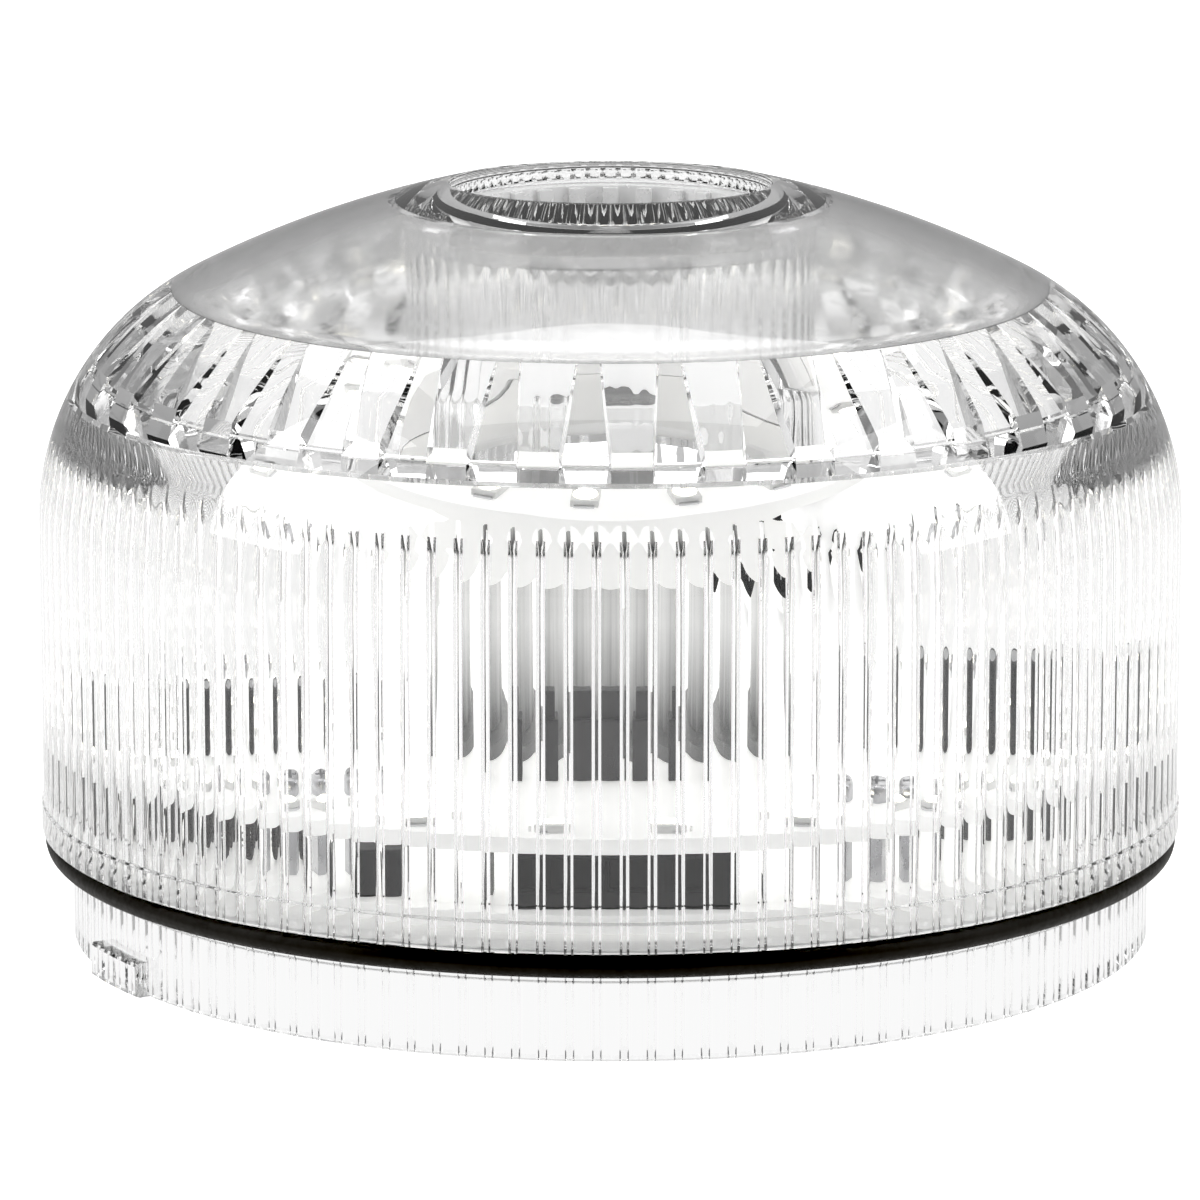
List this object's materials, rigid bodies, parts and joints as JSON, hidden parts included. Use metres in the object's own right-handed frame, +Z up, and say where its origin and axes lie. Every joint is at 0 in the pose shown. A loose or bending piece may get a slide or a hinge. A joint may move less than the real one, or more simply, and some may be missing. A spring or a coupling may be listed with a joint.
{
  "type": "horn strobe",
  "caption": "Clear domed horn strobe module: ribbed lens with a bayonet skirt and seal, lit LED boards, a piezo sounder behind a crown outlet and sprung contacts underneath.",
  "frame": {"origin": "centre of the skirt's lower rim, where the module stands, on the lens axis", "axes": "+Z up along the lens axis towards the crown's sound outlet; +X to the right and -Y towards the viewer"},
  "size_m": [0.1204, 0.1204, 0.0793],
  "materials": {
    "clear_lens": "clear polished polycarbonate",
    "clear_grille": "clear polished polycarbonate",
    "seal_rubber": "satin black",
    "seal_silicone": "satin white silicone",
    "mesh_fabric": "fine woven acoustic mesh",
    "piezo_brass": "satin",
    "piezo_ceramic": "matt silvered",
    "black_plastic": "moulded black",
    "white_plastic": "moulded white",
    "grey_plastic": "moulded grey",
    "white_board": "white solder mask",
    "led_package": "white packages, lit",
    "chip_epoxy": "matt epoxy",
    "reflector_white": "gloss white",
    "capacitor_sleeve": "shrink sleeve",
    "plated_steel": "bright zinc",
    "plate_plastic": "moulded white",
    "contact_gold": "gold plated",
    "spring_steel": "drawn wire",
    "switch_plastic": "moulded",
    "trimmer_plastic": "moulded blue"
  },
  "bodies": {
    "module": {"lens_dome": "clear_lens", "o_ring_seal": "seal_rubber", "horn_grille": "clear_grille", "acoustic_mesh": "mesh_fabric", "horn_throat": "clear_grille", "tube_gasket": "seal_silicone", "sounder_cap": "white_plastic", "sounder_port": "black_plastic", "piezo_gasket": "seal_silicone", "piezo_disc": "piezo_brass", "piezo_ceramic": "piezo_ceramic", "sounder_body": "white_plastic", "sounder_column": "grey_plastic", "upper_led_board": "white_board", "upper_leds": "led_package", "led_driver_chips": "chip_epoxy", "reflector": "reflector_white", "lower_led_board": "white_board", "lower_leds": "led_package", "bulk_capacitors": "capacitor_sleeve", "board_header": "black_plastic", "riser_connector": "black_plastic", "board_spacers": "plated_steel", "board_screws": "plated_steel", "control_board": "white_board", "filter_capacitors": "capacitor_sleeve", "driver_inductor": "chip_epoxy", "ring_chokes": "chip_epoxy", "terminal_block": "black_plastic", "transformer": "chip_epoxy", "microcontroller": "chip_epoxy", "closure_plate": "plate_plastic", "plate_screws": "plated_steel", "contact_carrier": "white_plastic", "contact_spring_1": "spring_steel", "contact_spring_2": "spring_steel", "contact_spring_3": "spring_steel", "contact_spring_4": "spring_steel", "tone_switch_body": "switch_plastic", "volume_trimmer": "trimmer_plastic"},
    "contact_pin_1": {"contact_pin_1": "contact_gold"},
    "contact_pin_2": {"contact_pin_2": "contact_gold"},
    "contact_pin_3": {"contact_pin_3": "contact_gold"},
    "contact_pin_4": {"contact_pin_4": "contact_gold"},
    "tone_slider_1": {"tone_slider_1": "white_plastic"},
    "tone_slider_2": {"tone_slider_2": "white_plastic"},
    "tone_slider_3": {"tone_slider_3": "white_plastic"},
    "tone_slider_4": {"tone_slider_4": "white_plastic"},
    "tone_slider_5": {"tone_slider_5": "white_plastic"},
    "volume_rotor": {"volume_rotor": "white_plastic"}
  },
  "joints": [
    {"name": "contact_1_press", "type": "slide", "parent": "module", "child": "contact_pin_1", "axis": [0, 0, 1], "range_m": [0, 0.0012], "stiffness_N_per_m": 400, "springref_m": -0.0005, "deforming": ["contact_spring_1"]},
    {"name": "contact_2_press", "type": "slide", "parent": "module", "child": "contact_pin_2", "axis": [0, 0, 1], "range_m": [0, 0.0012], "stiffness_N_per_m": 400, "springref_m": -0.0005, "deforming": ["contact_spring_2"]},
    {"name": "contact_3_press", "type": "slide", "parent": "module", "child": "contact_pin_3", "axis": [0, 0, 1], "range_m": [0, 0.0012], "stiffness_N_per_m": 400, "springref_m": -0.0005, "deforming": ["contact_spring_3"]},
    {"name": "contact_4_press", "type": "slide", "parent": "module", "child": "contact_pin_4", "axis": [0, 0, 1], "range_m": [0, 0.0012], "stiffness_N_per_m": 400, "springref_m": -0.0005, "deforming": ["contact_spring_4"]},
    {"name": "tone_1_slide", "type": "slide", "parent": "module", "child": "tone_slider_1", "axis": [0, 1, 0], "range_m": [0, 0.0016]},
    {"name": "tone_2_slide", "type": "slide", "parent": "module", "child": "tone_slider_2", "axis": [0, 1, 0], "range_m": [0, 0.0016]},
    {"name": "tone_3_slide", "type": "slide", "parent": "module", "child": "tone_slider_3", "axis": [0, 1, 0], "range_m": [0, 0.0016]},
    {"name": "tone_4_slide", "type": "slide", "parent": "module", "child": "tone_slider_4", "axis": [0, 1, 0], "range_m": [0, 0.0016]},
    {"name": "tone_5_slide", "type": "slide", "parent": "module", "child": "tone_slider_5", "axis": [0, 1, 0], "range_m": [0, 0.0016]},
    {"name": "volume_turn", "type": "hinge", "parent": "module", "child": "volume_rotor", "pos_m": [0.025, 0, 0.0072], "axis": [0, 0, 1], "range_deg": [-135, 135]}
  ]
}
